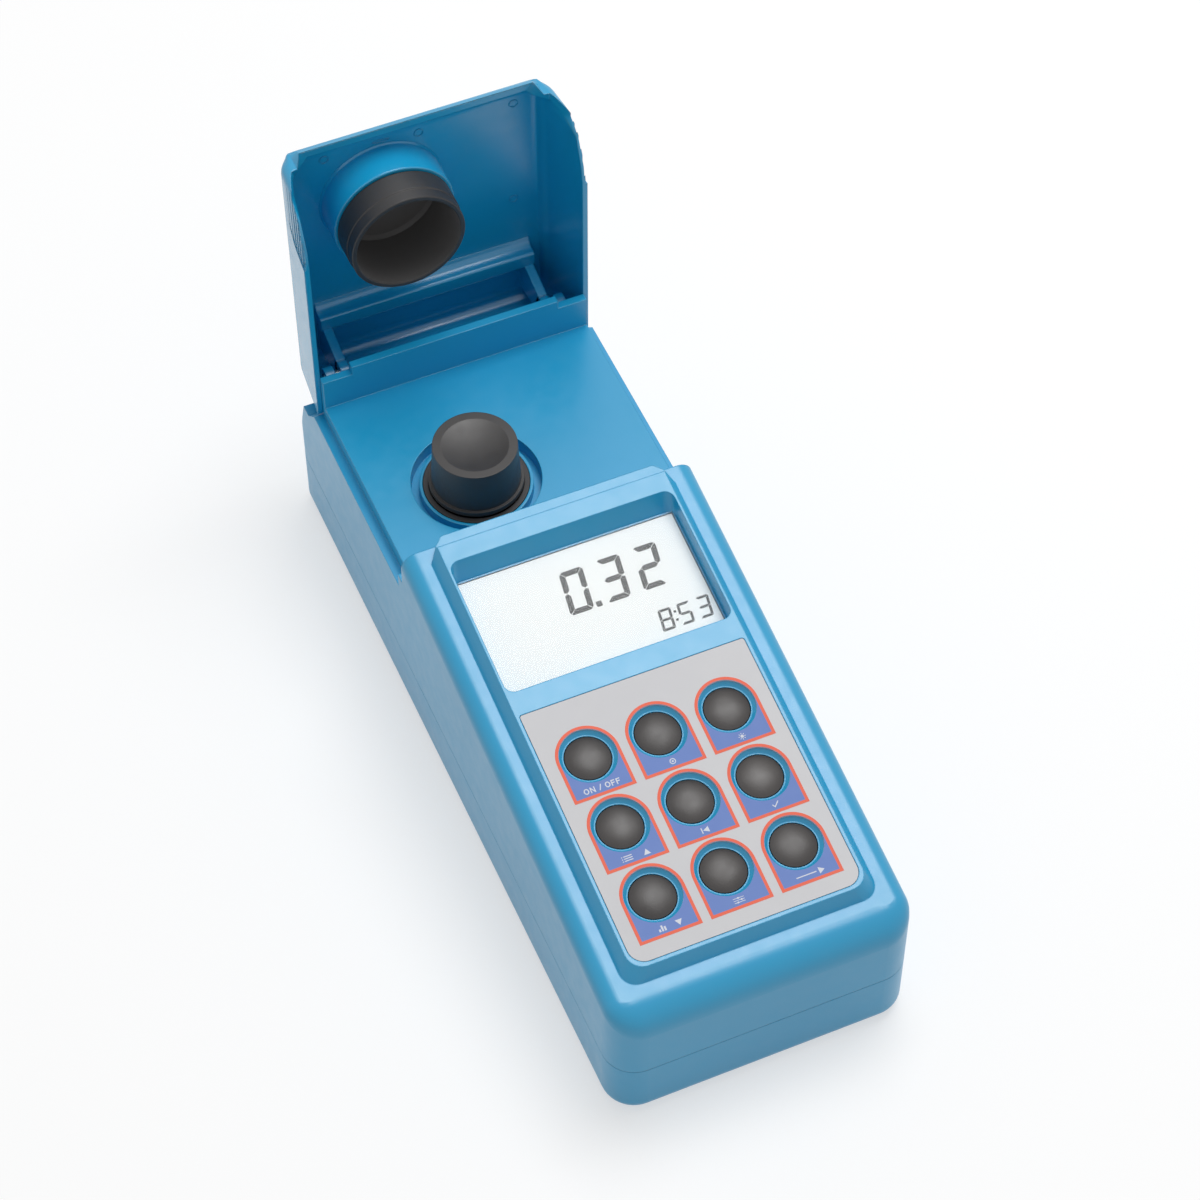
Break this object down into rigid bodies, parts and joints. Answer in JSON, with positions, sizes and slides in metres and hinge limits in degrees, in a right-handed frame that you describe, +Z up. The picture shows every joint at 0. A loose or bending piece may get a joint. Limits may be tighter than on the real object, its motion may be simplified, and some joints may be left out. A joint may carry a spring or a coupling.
{
  "type": "portable turbidity meter",
  "caption": "Handheld bench instrument with a hinged lid over a round cuvette well, a display and a keypad, for measuring how cloudy a water sample is.",
  "frame": {"origin": "on the surface that the meter stands on, under the middle of the case", "axes": "+X to the user's right, +Y from the front to the hinge at the rear, +Z up; the lid is open at 90 degrees at rest"},
  "size_m": [0.085, 0.2368, 0.1346],
  "materials": {
    "case_blue": "moulded sky-blue plastic with a fine satin texture",
    "black_plastic": "moulded black plastic, matt",
    "cap_black": "moulded black screw cap, satin",
    "key_black": "soft black key, satin dome",
    "label_grey": "light grey printed film",
    "clear_window": "clear polished window",
    "display_grey": "white liquid crystal display",
    "glass": "clear optical glass",
    "water": "clear water sample",
    "seal_rubber": "grey silicone rubber",
    "foot_rubber": "black rubber",
    "cell_jacket": "printed jacket of a dry cell, bare",
    "spring_steel": "nickel-plated spring steel",
    "steel": "stainless steel",
    "board_green": "green circuit board",
    "lamp_metal": "metal can with glass window"
  },
  "bodies": {
    "case": {"battery_cells": "cell_jacket", "battery_contacts": "spring_steel", "battery_door": "case_blue", "battery_door_screw": "steel", "battery_springs": "spring_steel", "buzzer": "black_plastic", "case_screws": "steel", "display_backlight": "display_grey", "display_glass": "display_grey", "display_window": "clear_window", "hinge_pin_left": "steel", "hinge_pin_right": "steel", "key_label": "label_grey", "key_mat": "seal_rubber", "key_switches": "black_plastic", "lamp": "lamp_metal", "lamp_board": "board_green", "lamp_lens": "glass", "lower_housing": "case_blue", "main_board": "board_green", "main_board_screws": "steel", "optical_block": "black_plastic", "panel_board": "board_green", "panel_board_screws": "steel", "power_jack": "black_plastic", "rubber_feet": "foot_rubber", "scattered_light_detector": "lamp_metal", "transmitted_light_detector": "lamp_metal", "upper_housing": "case_blue", "usb_socket": "steel"},
    "lid": {"lid": "case_blue", "light_shield_cup": "black_plastic"},
    "cuvette": {"cuvette_glass": "glass", "water_sample": "water"},
    "cap_liner": {"cap_seal": "seal_rubber"},
    "cap": {"cuvette_cap": "cap_black"},
    "key_1": {"key_1": "key_black"},
    "key_2": {"key_2": "key_black"},
    "key_3": {"key_3": "key_black"},
    "key_4": {"key_4": "key_black"},
    "key_5": {"key_5": "key_black"},
    "key_6": {"key_6": "key_black"},
    "key_7": {"key_7": "key_black"},
    "key_8": {"key_8": "key_black"},
    "key_9": {"key_9": "key_black"}
  },
  "joints": [
    {"name": "lid_hinge", "type": "hinge", "parent": "case", "child": "lid", "pos_m": [0, 0.1035, 0.0587], "axis": [-1, 0, 0], "range_deg": [-90, 0]},
    {"name": "cuvette_lift", "type": "slide", "parent": "case", "child": "cuvette", "axis": [0, 0, 1], "range_m": [0, 0.065]},
    {"name": "cap_rise", "type": "slide", "parent": "cuvette", "child": "cap_liner", "axis": [0, 0, 1], "range_m": [0, 0.006]},
    {"name": "cap_turn", "type": "hinge", "parent": "cap_liner", "child": "cap", "pos_m": [-0.0106, 0.05435, 0.06], "axis": [0, 0, 1], "range_deg": [0, 720]},
    {"name": "key_1_press", "type": "slide", "parent": "case", "child": "key_1", "axis": [0, 0.1602, -0.9871], "range_m": [0, 0.0008], "stiffness_N_per_m": 400},
    {"name": "key_2_press", "type": "slide", "parent": "case", "child": "key_2", "axis": [0, 0.1602, -0.9871], "range_m": [0, 0.0008], "stiffness_N_per_m": 400},
    {"name": "key_3_press", "type": "slide", "parent": "case", "child": "key_3", "axis": [0, 0.1602, -0.9871], "range_m": [0, 0.0008], "stiffness_N_per_m": 400},
    {"name": "key_4_press", "type": "slide", "parent": "case", "child": "key_4", "axis": [0, 0.1602, -0.9871], "range_m": [0, 0.0008], "stiffness_N_per_m": 400},
    {"name": "key_5_press", "type": "slide", "parent": "case", "child": "key_5", "axis": [0, 0.1602, -0.9871], "range_m": [0, 0.0008], "stiffness_N_per_m": 400},
    {"name": "key_6_press", "type": "slide", "parent": "case", "child": "key_6", "axis": [0, 0.1602, -0.9871], "range_m": [0, 0.0008], "stiffness_N_per_m": 400},
    {"name": "key_7_press", "type": "slide", "parent": "case", "child": "key_7", "axis": [0, 0.1602, -0.9871], "range_m": [0, 0.0008], "stiffness_N_per_m": 400},
    {"name": "key_8_press", "type": "slide", "parent": "case", "child": "key_8", "axis": [0, 0.1602, -0.9871], "range_m": [0, 0.0008], "stiffness_N_per_m": 400},
    {"name": "key_9_press", "type": "slide", "parent": "case", "child": "key_9", "axis": [0, 0.1602, -0.9871], "range_m": [0, 0.0008], "stiffness_N_per_m": 400}
  ],
  "couplings": [
    {"joint": "cap_turn", "follows": "cap_rise", "rad_per_m": 2094.4}
  ]
}
